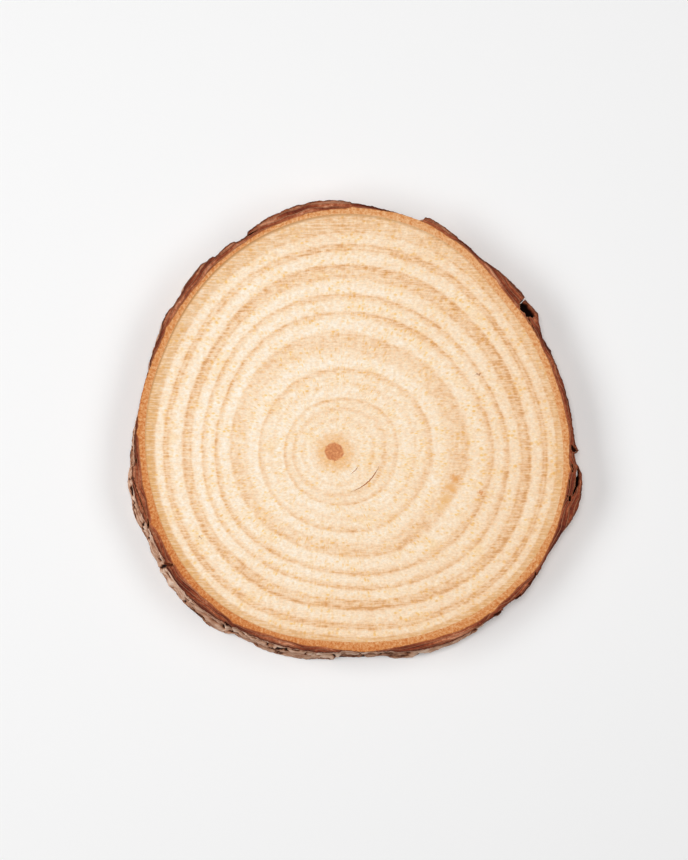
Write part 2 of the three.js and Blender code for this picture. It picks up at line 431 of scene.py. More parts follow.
# Half height of the lumps and hollows, as a share of the thickness.
LUMP_HALF_HEIGHT = 0.3
# Lumps and hollows: bearing and share of the thickness of the middle, half width in degrees, rise in mm.
LUMPS = [
    (188.0, 0.4, 2.0, 0.35), (197.8, 0.3, 1.6, 0.2), (206.5, 0.35, 2.6, 0.4), (213.5, 0.3, 1.8, 0.45),
    (218.3, 0.2, 1.3, 0.6), (232.5, 0.25, 3.5, -0.2), (250.0, 0.3, 2.2, -0.45), (267.0, 0.35, 4.0, 0.45),
    (271.0, 0.3, 1.0, 0.7), (289.5, 0.5, 3.0, -0.4),
]


def ease(low, high, value):
    """0 below low, 1 above high and a smooth rise between."""
    t = min(1.0, max(0.0, (value - low) / (high - low)))
    return t * t * (3 - 2 * t)


def crack_at(bearing, up, crack):
    """How much a place lies in a crack, and on the lifted edge of the flake beside it."""
    start, start_up, end, end_up = crack
    x = turn_from(start, bearing) * MM_PER_DEGREE
    y = (up - start_up) * CRACK_RISE
    run, rise = (end - start) * MM_PER_DEGREE, (end_up - start_up) * CRACK_RISE
    length = math.hypot(run, rise)
    along = (x * run + y * rise) / length ** 2
    if along < 0 or along > 1:
        return 0.0, 0.0
    wobble = CRACK_WOBBLE * noise.noise(Vector((start, along * length * 1.5, 0)))
    off = (y * run - x * rise) / length + wobble
    fade = math.sin(math.pi * (0.1 + 0.8 * along))
    slit = math.exp(-((off / CRACK_HALF) ** 2))
    lifted = math.exp(-(((off - LIP_OFF) / LIP_HALF) ** 2))
    return fade * slit, fade * lifted


def face_relief(bearing, up):
    """How far the bark's face stands out of the frame's scales, in mm, and how pale it is painted, with
    painted highlights on the flake rims and lifted edges and painted shade in the gaps, the cracks and
    towards the foot of the wall.
    """
    turn = math.radians(bearing)
    drum_place = Vector((DRUM * math.cos(turn), DRUM * math.sin(turn), up * 10))
    place = Vector((drum_place.x / FLAKE_WIDTH, drum_place.y / FLAKE_WIDTH, drum_place.z / FLAKE_HEIGHT))
    place += 0.16 * noise.noise_vector(drum_place / 3.0) + 0.05 * noise.noise_vector(drum_place / 0.9)
    distances, centres = noise.voronoi(place)
    gap = 1 - ease(0.0, 0.09, distances[1] - distances[0])
    edge = 1 - ease(0.06, 0.2, distances[1] - distances[0])
    height = noise.noise(centres[0] * 13.7)
    tilt = noise.noise(centres[0] * 7.1 + Vector((5, 0, 0)))
    relief = 0.4 * height + 0.6 * tilt * (place.z - centres[0].z) - 0.35 * gap
    calm = 0.3 + 0.7 * math.sqrt(math.sin(math.pi * up))
    relief = calm * max(-0.6, min(0.24, relief))
    relief += 0.13 * noise.noise(drum_place * 0.85) + 0.1 * noise.noise(drum_place * 1.9)
    # Each flake's own tone, a painted highlight on its rim, painted shade in the gaps between flakes and
    # painted shade towards the foot of the wall.
    pale = 0.9 * noise.noise(centres[0] * 4.3) + 0.3 * edge - 1.1 * gap - 0.3 * ease(0.7, 1.0, 1 - up)
    for crack in CRACKS:
        if abs(turn_from(crack[0], bearing)) < CRACK_REACH:
            slit, lifted = crack_at(bearing, up, crack)
            relief += 0.42 * lifted - 0.8 * slit
            # Painted highlight on the lifted edge and painted shade in the crack.
            pale += 0.6 * lifted - 2.2 * slit
    for middle, middle_up, half, rise in LUMPS:
        off = turn_from(middle, bearing) / half
        if abs(off) < 3:
            relief += rise * math.exp(-off * off - ((up - middle_up) / LUMP_HALF_HEIGHT) ** 2)
    return relief, pale


# The rays for the top and bottom rows land just inside the frame's rims.
INSIDE = 0.002
bark_surface = surface_of("bark")
rows = np.arange(WALL_ROWS + 1) / WALL_ROWS
wall = np.stack([reach(bark_surface, min(1 - INSIDE, max(INSIDE, up))) for up in rows])
relief, tone_and_painted_light = np.moveaxis(np.array([[face_relief(b, up) for b in BEARINGS] for up in rows]), 2, 0)
print("bark relief in mm:", relief.min().round(2), "to", relief.max().round(2))

# %% [markdown]
# The frame's scales end in straight upright edges. Real ones are ragged, so below the top rim each row of
# the face is slid round by a slowly changing amount, and the steps are softened a little. Two narrow gaps
# at the mouths of clefts, which are cut later, are bridged first.

# %% Ragged scales
# Most slide and softening, in columns, and the first and last bearing of each gap.
SLIDE = 8
SOFTEN = 5
BRIDGED = [(355.4, 357.8), (200.9, 204.0)]

for first, last in BRIDGED:
    a, b = int(first / 360 * COLUMNS), int(last / 360 * COLUMNS)
    share = np.linspace(0, 1, b - a + 1)
    wall[:, a:b + 1] = wall[:, [a]] * (1 - share) + wall[:, [b]] * share
for index, up in enumerate(rows):
    slide = [
        noise.noise(Vector((math.cos(t) * 13, math.sin(t) * 13, up * 3.5)))
        + 0.4 * noise.noise(Vector((math.cos(t) * 40, math.sin(t) * 40, up * 9)))
        for t in np.radians(BEARINGS)
    ]
    moved = np.arange(COLUMNS) + SLIDE * (1 - up ** 6) * np.array(slide)
    slid = np.interp(moved, np.arange(COLUMNS), wall[index], period=COLUMNS)
    softer = sum(np.roll(slid, k) for k in range(-SOFTEN, SOFTEN + 1)) / (2 * SOFTEN + 1)
    soft = 0.2 + 0.5 * (1 - up ** 4)
    wall[index] = slid * (1 - soft) + softer * soft
print("rows of the face:", len(rows))

# %% [markdown]
# Where the frame's own plates lie bare on the inner bark, the flakes must not cut through to the wood,
# so the face keeps a least thickness.

# %% Move the bark out to its face
THINNEST = 1.3
# Chips in the sawn faces: how far outside the wood's edge they start and how large they are, in mm, and
# their depth as a share of the thickness.
CHIPPED_FROM = 1.7
CHIP_SIZE = 1.4
CHIP_DEPTH = 0.035
# Painted shade and highlight: how much darker a hollow of the face is painted than what lies round it, and
# how much lighter a lump.
PAINTED_HOLLOW_SHADE = 1.7
# Thickness of the living bark in mm, every 10 degrees.
LIVING = [1.45, 1.6, 1.55, 1.5, 1.7, 1.7, 1.55, 1.8, 1.5, 1.15, 0.95, 0.75, 0.75, 0.9, 1.4, 1.4, 1.9, 1.8,
          1.45, 1.6, 1.85, 1.4, 1.4, 1.3, 1.65, 1.1, 1.3, 1.75, 2.1, 1.7, 1.75, 2.0, 1.6, 1.8, 1.55, 1.1]
# How light the living and the dead bark are, every 30 degrees.
LIVING_TONE = [0.065, 0.115, 0.15, 0.1, 0.0, 0.02, -0.05, -0.14, -0.13, -0.04, 0.0, 0.015]
DEAD_TONE = [-0.12, -0.04, 0.01, 0.02, 0.03, -0.02, -0.03, -0.03, -0.01, -0.02, -0.035, -0.045]
# Where the living bark rises between two plates: bearing, height in mm and half width in degrees.
CUSPS = [(28.5, 0.2, 1.5), (46.5, 0.25, 2.0), (85.5, 0.4, 2.0), (143.3, 0.45, 2.5), (174.5, 0.5, 2.0),
         (201.6, 0.6, 2.0), (214.3, 0.25, 1.5), (239.6, 0.35, 1.8), (315.5, 0.5, 3.0),
         (323.5, -0.35, 3.0), (355.8, 0.35, 1.3)]
depth_at_wall = np.maximum((wall - wood_reach) / MM + relief, THINNEST)


def averaged(field, by_rows, by_columns):
    """The face's values, each averaged with its neighbours."""
    padded = np.pad(field, ((by_rows, by_rows), (0, 0)), mode="edge")
    tall = sum(padded[k:k + len(field)] for k in range(2 * by_rows + 1)) / (2 * by_rows + 1)
    return sum(np.roll(tall, k, axis=1) for k in range(-by_columns, by_columns + 1)) / (2 * by_columns + 1)


hollowness = averaged(depth_at_wall, by_rows=3, by_columns=9) - depth_at_wall
# Painted shade in the hollows and a painted highlight on the lumps.
tone_and_painted_light -= PAINTED_HOLLOW_SHADE * np.clip(hollowness, -0.35, 0.4)
column = np.rint(bark_bearing / 360 * COLUMNS).astype(int) % COLUMNS
row = np.clip(np.rint(bark_up * WALL_ROWS).astype(int), 0, WALL_ROWS)
outer_depth = depth_at_wall[row, column]
bark_depth = outer_depth * bark_share
inner_edge = wood_reach[column]
bark_turn = np.radians(bark_bearing)
chip_places = np.column_stack([np.cos(bark_turn) * DRUM, np.sin(bark_turn) * DRUM, bark_depth * 2])
chip = np.array([max(0.0, noise.noise(Vector(place) / CHIP_SIZE)) for place in chip_places])
sawn = (bark_up > 0.999) | (bark_up < 0.001)
past = bark_depth - CHIPPED_FROM
drop = np.where(sawn & (past > 0), CHIP_DEPTH * chip * np.clip(past, 0, 1), 0)
bark_height = np.where(bark_up > 0.5, bark_up - drop, bark_up + drop)
move_points(bark, on_log(bark_bearing, inner_edge + bark_depth * MM, bark_height))
add_attribute(bark, "depth", bark_depth)
living_edge = at_bearing(smooth_round(LIVING), bark_bearing)
for middle, rise, half in CUSPS:
    off = np.abs(turn_from(middle, bark_bearing)) / half
    living_edge += rise * np.clip(1 - off, 0, 1) ** 1.5
add_attribute(bark, "beyond_living", bark_depth - living_edge)
add_attribute(bark, "from_face", outer_depth - bark_depth)
for name, values in (("living_tone", LIVING_TONE), ("dead_tone", DEAD_TONE)):
    add_attribute(bark, name, at_bearing(smooth_round(values), bark_bearing))
add_attribute(bark, "tone_and_painted_light", tone_and_painted_light[row, column])
drum = DRUM + bark_depth
round_log = np.column_stack([np.cos(bark_turn) * drum, np.sin(bark_turn) * drum, bark_height * 10])
add_attribute(bark, "round_log", round_log)
print("bark stands out", depth_at_wall.min().round(2), "to", depth_at_wall.max().round(2), "mm")

# %% [markdown]
# ## Finishes
# One function turns the colours, which are given as they look on a screen, into the linear values that
# a shader works with, and one adds a node with its settings, values and links.

# %% Helpers for materials
# Settings that many nodes share.
ADD = {"operation": "ADD"}
MULTIPLY = {"operation": "MULTIPLY"}
MULTIPLY_ADD = {"operation": "MULTIPLY_ADD"}
BLEND = {"data_type": "RGBA"}


def colour(code):
    """An sRGB hex colour as linear red, green, blue and alpha."""
    parts = [int(code[i:i + 2], 16) / 255 for i in (1, 3, 5)]
    return [p / 12.92 if p <= 0.04045 else ((p + 0.055) / 1.055) ** 2.4 for p in parts] + [1.0]


def set_inputs(node, inputs):
    """Gives inputs of a node, by name or number, a value or a link to another node's output."""
    for key, value in inputs.items():
        if isinstance(value, bpy.types.NodeSocket):
            node.id_data.links.new(value, node.inputs[key])
        else:
            node.inputs[key].default_value = value


def add_node(tree, kind, *values, out=None, **named):
    """Adds a node to a tree and gives its named output, or else the first that it shows.

    The values go to the inputs in the order in which the node shows them. Names in small letters are
    settings, and the others are inputs.
    """
    node = tree.nodes.new("ShaderNode" + kind)
    for name in filter(str.islower, named):
        setattr(node, name, named[name])
    shown = [index for index, socket in enumerate(node.inputs) if socket.enabled]
    set_inputs(node, dict(zip(shown, values)))
    set_inputs(node, {name: value for name, value in named.items() if not name.islower()})
    return node.outputs[out] if out else next(socket for socket in node.outputs if socket.enabled)


def fill_ramp(ramp, stops):
    """Gives a colour ramp its stops: place, and colour as a hex code or grey as a number."""
    elements = ramp.node.color_ramp.elements
    while len(elements) < len(stops):
        elements.new(1.0)
    for element, (place, value) in zip(elements, stops):
        element.position = place
        element.color = colour(value) if isinstance(value, str) else [value, value, value, 1.0]


def new_material(name):
    """A new material, its principled shader and a function that adds nodes to its tree."""
    material = bpy.data.materials.new(name)
    material.use_nodes = True
    tree = material.node_tree
    return material, tree.nodes["Principled BSDF"], partial(add_node, tree)


def cut_walls(name, depth, stops, roughness, gloss):
    """A material for the walls of a cut: its colour changes from a depth in mm up to the top face, so that
    the walls can be painted darker deep down, as painted shade.
    """
    material, shader, add = new_material(name)
    place = add("TexCoord", out="Object")
    height = add("SeparateXYZ", out="Z", Vector=place)
    height = add("MapRange", height, THICKNESS - depth * MM, THICKNESS)
    walls = add("ValToRGB", Fac=height)
    fill_ramp(walls, stops)
    set_inputs(shader, {"Base Color": walls, "Roughness": roughness, "Specular IOR Level": gloss})
    return material


print("mid grey on a screen is", round(colour("#808080")[0], 3), "in a shader")

# %% [markdown]
# ## Sanded pine end grain
# In each year the wood starts pale and soft and darkens to a thin tan line of late wood. The line ends
# sharply where the next spring began. Tone 0 is the pale early wood and tone 1 the darkest line.

# %% Rings of the pine
# Age and tone, from the pith outwards.
INNER_TONES = [
    (0.0, 0.4), (0.75, 0.3), (1.2, 0.15), (1.6, 0.14), (1.86, 0.26), (1.96, 0.16), (2.18, 0.18),
    (2.3, 0.34), (2.42, 0.37), (2.54, 0.2), (2.75, 0.2), (2.93, 0.45), (3.02, 0.14), (3.3, 0.12),
    (3.47, 0.24), (3.56, 0.15), (3.75, 0.17), (3.95, 0.42), (4.04, 0.12), (4.3, 0.1), (4.52, 0.27),
    (4.8, 0.34), (5.05, 0.4), (5.17, 0.17), (5.25, 0.12),
]
OUTER_TONES = [
    (5.25, 0.12), (5.65, 0.12), (5.84, 0.3), (6.02, 0.54), (6.12, 0.22), (6.2, 0.15), (6.48, 0.13),
    (6.66, 0.3), (6.84, 0.5), (6.94, 0.2), (7.02, 0.14), (7.2, 0.13), (7.45, 0.22), (7.57, 0.49),
    (7.68, 0.4), (7.84, 0.47), (8.0, 0.68), (8.07, 0.5), (8.16, 0.2), (8.26, 0.17), (8.5, 0.15),
    (8.72, 0.26), (8.84, 0.54), (8.95, 0.42), (9.07, 0.56), (9.17, 0.32), (9.28, 0.22), (9.55, 0.24),
    (9.74, 0.28), (9.84, 0.5), (9.94, 0.38), (10.5, 0.46),
]

pine, shader, add = new_material("pine_end_grain")
age = add("Attribute", attribute_name="age", out="Fac")
ray_place = add("Attribute", attribute_name="rays", out="Vector")
pith_place = add("Attribute", attribute_name="from_pith", out="Vector")

wander = add("TexNoise", Vector=pith_place, Scale=0.5, Detail=3.0)
wander = add("Math", wander, 0.1, -0.05, **MULTIPLY_ADD)
ring_age = add("Math", age, wander, **ADD)
tones = []
for table in (INNER_TONES, OUTER_TONES):
    low, high = table[0][0], table[-1][0]
    place = add("MapRange", ring_age, low, high)
    ramp = add("ValToRGB", Fac=place)
    fill_ramp(ramp, [((a - low) / (high - low), tone) for a, tone in table])
    tones.append(ramp)
is_outer = add("Math", ring_age, INNER_TONES[-1][0], operation="GREATER_THAN")
tone = add("Mix", is_outer, tones[0], tones[1], **BLEND)
print("ring tones:", len(INNER_TONES), "inner and", len(OUTER_TONES), "outer")

# %% [markdown]
# Over the rings lie the marks of the saw, fine lines straight across the slice that show most in the dark
# late wood, then faint rays that run out from the pith, blotches where a ring is stronger or weaker, and a
# mottle over everything. Each is a noise stretched along its own direction, with its scale in lines per
# millimetre.

# %% Saw marks, rays and mottle
patchy = add("TexNoise", Vector=pith_place, Scale=0.085, Detail=2.0)
patchy = add("MapRange", patchy, 0.3, 0.7, 0.75, 1.2)
fine_rays = add("TexNoise", Vector=ray_place, Scale=1.0, Detail=2.0, Roughness=0.6)
ray_tone = add("MapRange", fine_rays, 0.3, 0.7, 0.85, 1.15)
along_saw = add("Mapping", Vector=pith_place, Scale=(0.3, 2.4, 0.0))
saw_marks = add("TexNoise", Vector=along_saw, Scale=1.0, Detail=2.0, Roughness=0.6)
beads = add("TexNoise", Vector=pith_place, Scale=0.6, Detail=1.0)
beads = add("MapRange", beads, 0.35, 0.65, 0.78, 1.22)
strength = add("Math", patchy, ray_tone, **MULTIPLY)
strength = add("Math", strength, beads, **MULTIPLY)
ring_tone = add("Math", tone, strength, **MULTIPLY)
saw_tone = add("MapRange", saw_marks, 0.4, 0.62, -0.55, 0.7)
saw_tone = add("Math", saw_tone, ring_tone, **MULTIPLY)
ring_tone = add("Math", saw_tone, ring_tone, ring_tone, **MULTIPLY_ADD)

# One side of the log is a little deeper in colour.
across = add("VectorMath", pith_place, (0.92, -0.39, 0.0), operation="DOT_PRODUCT")
warm_side = add("MapRange", across, -45.0, 50.0, 0.0, 0.18)
flat_place = add("Mapping", Vector=pith_place, Scale=(1.0, 1.0, 0.0))
mottle = add("TexNoise", Vector=flat_place, Scale=0.9, Detail=2.0, Roughness=0.55)
mottle = add("MapRange", mottle, 0.3, 0.7, -0.11, 0.11)
ring_tone = add("Math", ring_tone, warm_side, **ADD)
ring_tone = add("Math", ring_tone, mottle, **ADD)

wood_colours = add("ValToRGB", Fac=ring_tone)
fill_ramp(wood_colours, [
    (0.0, "#FDF4E6"), (0.25, "#F8E0C2"), (0.5, "#F1CCA4"), (0.75, "#E7B88A"), (1.0, "#D79F69"),
])
print("nodes so far:", len(pine.node_tree.nodes))

# %% [markdown]
# Resin canals show as yellow specks: short dashes that point to the pith and dots along the saw marks. A
# cell pattern places them, one to a cell, and each cell's own random number says how strong its speck is.
# Along the dark lines they are more orange, and here and there the resin has spread into a faint stain.
# The newest wood, next to the bark, still holds sap and is yellower than the rest, and the cambium is a
# thin brown line round it.

# %% Resin, sap and cambium
canals = []
for canal_place, cells_per_unit in ((ray_place, (0.3, 0.3, 3.4)), (pith_place, (0.8, 1.4, 0.0))):
    cell_place = add("Mapping", Vector=canal_place, Scale=cells_per_unit)
    to_middle = add("TexVoronoi", Vector=cell_place, Scale=1.0)
    own_number = add("SeparateXYZ", Vector=to_middle.node.outputs["Color"])
    most = add("MapRange", own_number, 0.35, 0.9)
    dot = add("MapRange", to_middle, 0.2, 0.52, 1.0, 0.0)
    canals.append(add("Math", dot, most, **MULTIPLY))
specks = add("Math", canals[0], canals[1], operation="MAXIMUM")
speck_area = add("TexNoise", Vector=flat_place, Scale=0.16, Detail=3.0)
stain = add("MapRange", speck_area, 0.56, 0.72, 0.0, 0.4)
speck_area = add("MapRange", speck_area, 0.38, 0.58, 0.25, 1.0)
specks = add("Math", specks, speck_area, **MULTIPLY)
specks = add("Math", specks, stain, operation="MAXIMUM")
resin = add("ValToRGB", Fac=ring_tone)
fill_ramp(resin, [(0.1, "#F8D189"), (0.4, "#F0BC74"), (0.8, "#D99A56")])
face = add("Mix", specks, wood_colours, resin, **BLEND)
sappy = add("MapRange", ring_age, 9.65, 9.95)
sappy_here = add("Attribute", attribute_name="sap", out="Fac")
sappy_lines = add("MapRange", saw_marks, 0.38, 0.62, 0.6, 1.4)
for share in (sappy_here, sappy_lines):
    sappy = add("Math", sappy, share, **MULTIPLY)
face = add("Mix", sappy, face, colour("#DAA465"), **BLEND)
cambium = add("MapRange", age, 10.38, 10.46)
cambium_here = add("Attribute", attribute_name="cambium", out="Fac")
cambium = add("Math", cambium, cambium_here, **MULTIPLY)
face = add("Mix", cambium, face, colour("#BE8A55"), **BLEND)
print("nodes so far:", len(pine.node_tree.nodes))

# %% [markdown]
# The pith is soft and brown, with a yellow-orange bloom round it.

# %% Pith
pith_edge = add("TexNoise", Vector=flat_place, Scale=0.6, Detail=3.0)
spike_place = add("Mapping", Vector=ray_place, Scale=(0.05, 0.05, 0.8))
spikes = add("TexNoise", Vector=spike_place, Scale=1.0, Detail=2.0, Roughness=0.6)
spikes = add("MapRange", spikes, 0.6, 0.74, 0.0, -1.5)
pith_middle = (0.13, 0.05, 0.0)
from_middle = add("VectorMath", flat_place, pith_middle, operation="DISTANCE")
pith_radius = add("Math", pith_edge, -1.1, from_middle, **MULTIPLY_ADD)
pith_radius = add("Math", pith_radius, spikes, **ADD)
bloom_edge = add("TexNoise", Vector=flat_place, Scale=0.7, Detail=3.0, Roughness=0.7)
bloom_radius = add("Math", bloom_edge, -8.0, from_middle, **MULTIPLY_ADD)
bloom = add("MapRange", bloom_radius, -2.1, 1.7, 0.85, 0.0)
face = add("Mix", bloom, face, colour("#EDB677"), **BLEND)
in_pith = add("MapRange", pith_radius, 1.42, 1.78, 1.0, 0.0)
pith_grain = add("TexNoise", Vector=flat_place, Scale=1.6, Detail=3.0)
pith_colours = add("ValToRGB", Fac=pith_grain)
fill_ramp(pith_colours, [(0.3, "#C07349"), (0.55, "#D68C58"), (0.75, "#E5A56F")])
face = add("Mix", in_pith, face, pith_colours, **BLEND)
print("nodes so far:", len(pine.node_tree.nodes))

# %% [markdown]
# Under all that the sanded face isn't quite even: some fibres are a little darker or lighter, whatever
# their colour.

# %% Fibres
along_fibres = add("Mapping", Vector=pith_place, Scale=(1.4, 2.6, 0.0))
fibres = add("TexNoise", Vector=along_fibres, Scale=1.0, Detail=2.0, Roughness=0.7)
fibres = add("MapRange", fibres, 0.3, 0.7, 0.9, 1.08)
face = add("Mix", 1.0, face, fibres, blend_type="MULTIPLY", **BLEND)
print("nodes so far:", len(pine.node_tree.nodes))

# %% [markdown]
# A few single marks make the slice this one and no other: an orange streak of resin along a ring, made of
# four stains that run together, and three dark specks. A noise moves the place where they are read, so
# that their edges are ragged.

# %% Single marks
# Place from the pith and size, in mm, colour and strength.
MARKS = [
    ((29.2, -6.2), 1.6, "#E09A4E", 0.8),
    ((28.2, -8.6), 2.0, "#E6A860", 0.7),
    ((26.9, -11.2), 1.9, "#E9B26C", 0.65),
    ((25.6, -13.3), 1.6, "#EAB672", 0.55),
    ((35.4, -9.6), 0.6, "#D98E4C", 0.9),
    ((34.7, 18.5), 0.5, "#A0603A", 0.9),
    ((-32.0, -20.6), 0.4, "#A8744F", 0.9),
]
# How far the noise moves a place, in mm. It is half that on average.
RAGGED = 3.6
ragged = add("TexNoise", out="Color", Vector=flat_place, Scale=1.0, Detail=4.0, Roughness=0.75)
most_moved = (RAGGED, RAGGED, 0.0)
ragged_place = add("VectorMath", ragged, most_moved, flat_place, **MULTIPLY_ADD)
for (x, y), size, code, most in MARKS:
    middle = (x + RAGGED / 2, y + RAGGED / 2, 0.0)
    away = add("VectorMath", ragged_place, middle, operation="DISTANCE")
    near = add("MapRange", away, size * 0.3, size, most, 0.0)
    face = add("Mix", near, face, colour(code), **BLEND)
sanded = add("Math", fine_rays, saw_marks, **MULTIPLY)
bump = add("Bump", Strength=0.25, Distance=0.12 * MM, Height=sanded)
finish = {"Base Color": face, "Roughness": 0.72, "Specular IOR Level": 0.25, "Normal": bump}
set_inputs(shader, finish)
print(pine.name, len(pine.node_tree.nodes), "nodes")

# %% [markdown]
# Resin has run into the shakes, so their walls are brown. Deeper down they are painted darker, as painted
# shade. The faces between the top and the underside, near the pith, are those walls.

# %% Walls of the shakes
# The walls lie within this distance of the pith, and further than this from both faces.
NEAR_PITH = 20 * MM
SKIN = 0.05 * MM
deepest = max(shake[-1] for shake in SHAKES)
shake_wall = cut_walls(
    "pine_resin_wall_and_painted_shade", deepest, [(0.0, "#C97A36"), (0.5, "#D38F50"), (1.0, "#DCA972")], 0.6, 0.5
)
wood.data.materials.clear()
wood.data.materials.append(pine)
wood.data.materials.append(shake_wall)
centres = np.array([polygon.center for polygon in wood.data.polygons])
is_wall = np.abs(centres[:, 2] - THICKNESS / 2) < THICKNESS / 2 - SKIN
is_wall &= np.hypot(centres[:, 0] - PITH.x, centres[:, 1] - PITH.y) < NEAR_PITH
wood.data.polygons.foreach_set("material_index", is_wall.astype(np.int32))
print(shake_wall.name, "on", is_wall.sum(), "faces")

# %% [markdown]
# ## Sawn bark
# On the sawn faces the bark shows two layers. Next to the wood is the soft living bark, a smooth orange
# that deepens outwards. Outside it lies the dead bark, red-brown, in flat lenses that are parted by thin
# pale lines. The lenses come from reading a stripe pattern at a depth that swells and sinks slowly.

# %% Sawn bark
sawn_bark, shader, add = new_material("pine_bark_sawn")
depth = add("Attribute", attribute_name="depth", out="Fac")
beyond = add("Attribute", attribute_name="beyond_living", out="Fac")
log_place = add("Attribute", attribute_name="round_log", out="Vector")
swell = add("TexNoise", Vector=log_place, Scale=0.13, Detail=1.0)
lens = add("Math", swell, 3.4, depth, **MULTIPLY_ADD)
fray = add("TexNoise", Vector=log_place, Scale=0.9, Detail=3.0, Roughness=0.65)
lens = add("Math", fray, 0.4, lens, **MULTIPLY_ADD)
edge_in = add("Math", swell, 0.9, beyond, **MULTIPLY_ADD)
edge_in = add("Math", fray, 0.4, edge_in, **MULTIPLY_ADD)

soft_grain = add("TexNoise", Vector=log_place, Scale=1.4, Detail=4.0, Roughness=0.7)
living_tone = add("MapRange", depth, 0.0, 2.4, 0.06, -0.12)
living_here = add("Attribute", attribute_name="living_tone", out="Fac")
living_tone = add("Math", living_tone, living_here, **ADD)
living_tone = add("Math", soft_grain, 1.9, living_tone, **MULTIPLY_ADD)
living_tone = add("Math", living_tone, -0.45, **ADD)
living = add("ValToRGB", Fac=living_tone)
fill_ramp(living, [(0.15, "#BC662F"), (0.4, "#D08449"), (0.6, "#DC9C65"), (0.85, "#E9B887")])

# Each layer has a tone of its own, is finely streaked along its length and ends in a pale line with a dark
# edge, painted shade of the thin gap beside the line. Where it starts it is lighter, and at the bark's face
# it has a dark rim, partly weathered crust and partly painted shade.
stripe = add("Math", lens, 0.45, operation="PINGPONG")
layer = add("Math", lens, 0.9, operation="DIVIDE")
layer = add("Math", layer, operation="FLOOR")
layer_place = add("CombineXYZ", Z=layer)
slow_place = add("Mapping", Vector=log_place, Scale=(0.12, 0.12, 0.0))
layer_place = add("VectorMath", layer_place, (0, 0, 5.7), slow_place, **MULTIPLY_ADD)
layer_tone = add("TexNoise", Vector=layer_place, Scale=1.0, Detail=0.0)
streak_place = add("CombineXYZ", Z=lens)
streak_place = add("VectorMath", streak_place, (0, 0, 2.7), slow_place, **MULTIPLY_ADD)
streaks = add("TexNoise", Vector=streak_place, Scale=1.0, Detail=3.0, Roughness=0.65)
plates = add("Attribute", attribute_name="dead_tone", out="Fac")
for part, share in ((layer_tone, 0.65), (streaks, 0.75), (fray, 0.3), (soft_grain, 0.5)):
    plates = add("Math", part, share, plates, **MULTIPLY_ADD)
plates = add("Math", plates, -0.29, **ADD)
dead = add("ValToRGB", Fac=plates)
fill_ramp(dead, [
    (0.46, "#40160D"), (0.62, "#652817"), (0.78, "#8B4126"), (0.92, "#B16845"), (1.0, "#C98B6A"),
])
from_face = add("Attribute", attribute_name="from_face", out="Fac")
# The dark rim at the bark's face: partly weathered crust, partly painted shade.
crust_and_shade = add("MapRange", from_face, 0.1, 0.65, 0.95, 0.0)
crust_and_shade_here = add("MapRange", fray, 0.36, 0.58, 0.3, 1.0)
layers = dead
for share, code in (
    # The dark edge: painted shade of the gap beside the pale line.
    (add("MapRange", stripe, 0.08, 0.24, 0.5, 0.0), "#40180E"),
    (add("MapRange", stripe, 0.03, 0.09, 0.42, 0.0), "#C58C66"),
    (add("MapRange", edge_in, 0.6, 1.1, 0.6, 0.0), "#A8623C"),
    (add("Math", crust_and_shade, crust_and_shade_here, **MULTIPLY), "#431C11"),
):
    layers = add("Mix", share, layers, colour(code), **BLEND)
is_dead = add("MapRange", edge_in, 0.58, 0.76)
face = add("Mix", is_dead, living, layers, **BLEND)
bump = add("Bump", Strength=0.4, Distance=0.2 * MM, Height=plates)
finish = {"Base Color": face, "Roughness": 0.85, "Specular IOR Level": 0.2, "Normal": bump}
set_inputs(shader, finish)
print(sawn_bark.name, len(sawn_bark.node_tree.nodes), "nodes")

# %% [markdown]
# ## Weathered bark
# Outside, old flakes have weathered to a grey pink-brown. The stored paleness also holds painted light: the
# flake rims and lifted edges are painted pale as painted highlights, and the cracks, the gaps between
# flakes, the hollows and the foot of the wall are painted dark as painted shade. A noise stretched round
# the log mottles it.

# %% Weathered bark
weathered, shader, add = new_material("pine_bark_weathered")
# The stored tone, with its painted highlights and painted shade.
pale = add("Attribute", attribute_name="tone_and_painted_light", out="Fac")
log_place = add("Attribute", attribute_name="round_log", out="Vector")
round_place = add("Mapping", Vector=log_place, Scale=(0.35, 0.35, 0.9))
mottle = add("TexNoise", Vector=round_place, Scale=1.0, Detail=3.0, Roughness=0.6)
flake = add("Math", pale, 0.3, mottle, **MULTIPLY_ADD)
fine_place = add("Mapping", Vector=log_place, Scale=(1.1, 1.1, 2.6))
grain = add("TexNoise", Vector=fine_place, Scale=1.0, Detail=4.0, Roughness=0.65)
flake = add("Math", grain, 0.34, flake, **MULTIPLY_ADD)
flake = add("MapRange", flake, 0.3, 1.04)
faces = add("ValToRGB", Fac=flake)
fill_ramp(faces, [
    (0.0, "#2A140C"), (0.16, "#68391F"), (0.36, "#B07A5C"),
    (0.55, "#C99B7F"), (0.75, "#DCB398"), (1.0, "#EED0BA"),
])
bump = add("Bump", Strength=0.6, Distance=0.25 * MM, Height=grain)
finish = {"Base Color": faces, "Roughness": 0.9, "Specular IOR Level": 0.2, "Normal": bump}
set_inputs(shader, finish)
print(weathered.name, len(weathered.node_tree.nodes), "nodes")

# %% [markdown]
# The sawn faces are those whose corners all lie on the top or the underside. The rest of the ring, its
# outer wall, gets the weathered bark.

# %% Give the faces their finish
bark.data.materials.append(sawn_bark)
bark.data.materials.append(weathered)
for polygon in bark.data.polygons:
    polygon.material_index = 0 if sawn[list(polygon.vertices)].all() else 1
print("weathered faces:", sum(p.material_index for p in bark.data.polygons))

# %% [markdown]
# ## Clefts behind lifted flakes
# At a few places a flake has lifted and there is a dark gap behind it. The gaps are cut with curved
# blades as the ring shakes were. Each blade's two sides follow the ragged shape of its gap. The walls of a
# gap are red-brown at the top and painted nearly black deeper down, as painted shade.

